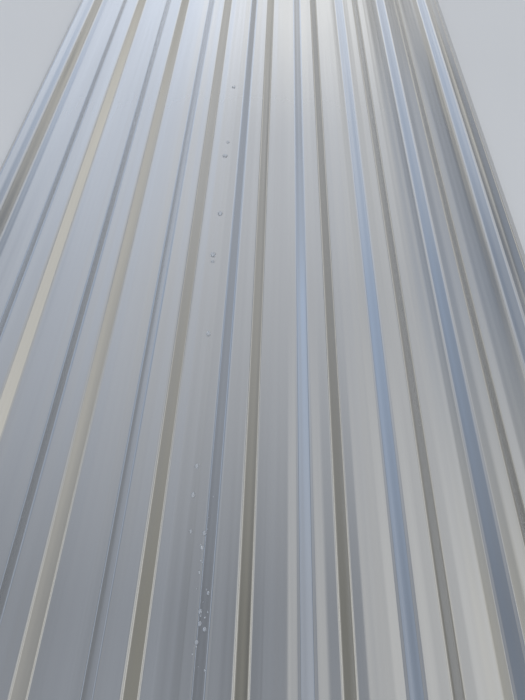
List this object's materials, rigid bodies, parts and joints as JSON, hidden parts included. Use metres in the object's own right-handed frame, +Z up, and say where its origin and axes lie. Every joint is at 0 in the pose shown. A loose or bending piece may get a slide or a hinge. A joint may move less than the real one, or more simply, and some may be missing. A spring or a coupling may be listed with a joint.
{
  "type": "corrugated metal sheet",
  "caption": "Flat-lying coated steel sheet with trapezoidal ribs along its length, for roofs, walls and fences.",
  "frame": {"origin": "on the floor under the middle of the sheet", "axes": "+Y along the ribs, +X across the ribs towards the overlapping edge, +Z up out of the weather side"},
  "size_m": [1.1636, 2.5, 0.0145],
  "materials": {
    "coated_steel": "satin"
  },
  "bodies": {
    "root": {"corrugated_sheet": "coated_steel"}
  },
  "joints": []
}
